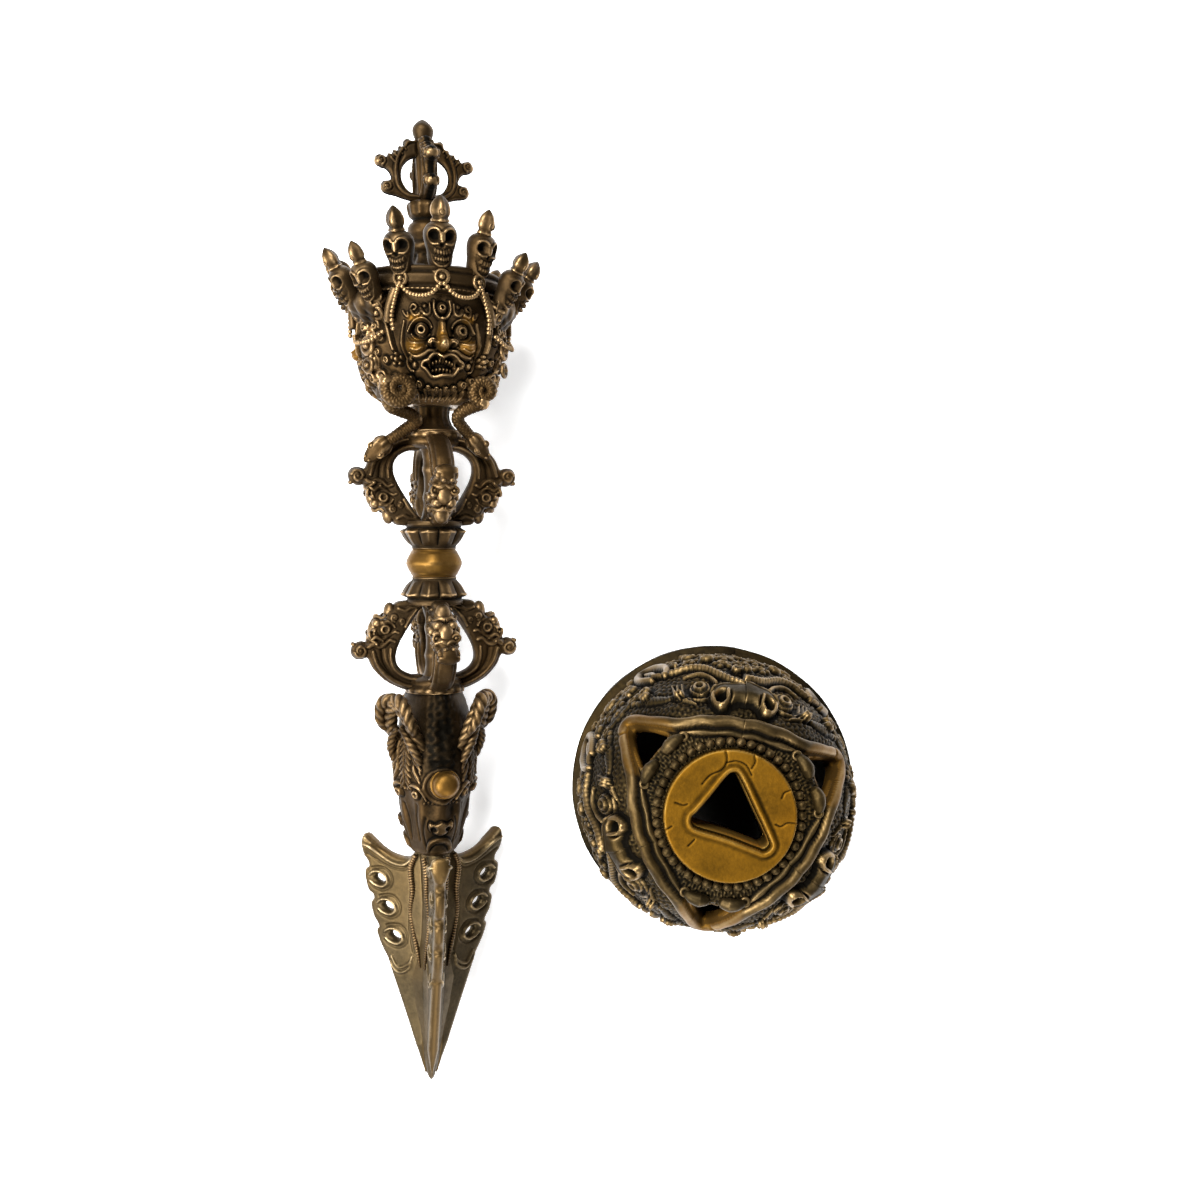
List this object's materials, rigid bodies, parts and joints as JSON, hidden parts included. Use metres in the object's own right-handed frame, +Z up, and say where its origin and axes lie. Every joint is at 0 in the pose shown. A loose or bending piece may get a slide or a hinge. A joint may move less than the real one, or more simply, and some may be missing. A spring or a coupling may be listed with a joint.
{
  "type": "phurba",
  "caption": "Three-bladed cast bronze ritual dagger with wrathful faces and skull crown, lying beside its domed beast-faced stand with a three-cornered socket.",
  "frame": {"origin": "centre of the stand's foot, on the surface that the stand and the dagger rest on", "axes": "+Z up; +Y along the lying dagger, from its tip to its finial; the dagger lies on the -X side of the stand"},
  "size_m": [0.1303, 0.2397, 0.0505],
  "materials": {
    "dark_bronze": "dark patina, worn high spots",
    "golden_bronze": "rubbed, satin",
    "blade_bronze": "worn, satin",
    "olive_bronze": "olive patina"
  },
  "bodies": {
    "stand": {"stand_shell": "olive_bronze", "socket_plate": "golden_bronze", "bead_ring": "dark_bronze", "lip_rim": "golden_bronze", "corner_fangs": "dark_bronze", "stand_eyes": "dark_bronze", "stand_noses": "dark_bronze", "stand_brows": "dark_bronze", "mane_curls": "dark_bronze"},
    "phurba": {"blade": "blade_bronze", "wing_serpents": "dark_bronze", "beast_head": "dark_bronze", "brow_jewel": "golden_bronze", "ram_horns": "dark_bronze", "lower_hub": "dark_bronze", "lower_prongs": "dark_bronze", "lower_spindle": "dark_bronze", "lower_lotus": "dark_bronze", "grip_knob": "golden_bronze", "upper_lotus": "dark_bronze", "upper_prongs": "dark_bronze", "upper_spindle": "dark_bronze", "upper_hub": "dark_bronze", "neck": "dark_bronze", "head_block": "dark_bronze", "front_face": "dark_bronze", "left_face": "dark_bronze", "right_face": "dark_bronze", "ear_scrolls": "dark_bronze", "shoulder_serpents": "dark_bronze", "crown_band": "dark_bronze", "band_rings": "dark_bronze", "front_skulls": "dark_bronze", "left_skulls": "dark_bronze", "right_skulls": "dark_bronze", "finial_stem": "dark_bronze", "finial_prongs": "dark_bronze", "finial_spire": "dark_bronze"}
  },
  "joints": [
    {"name": "phurba_lift", "type": "slide", "parent": "stand", "child": "phurba", "axis": [0, 0, 1], "range_m": [0, 0.08]}
  ]
}
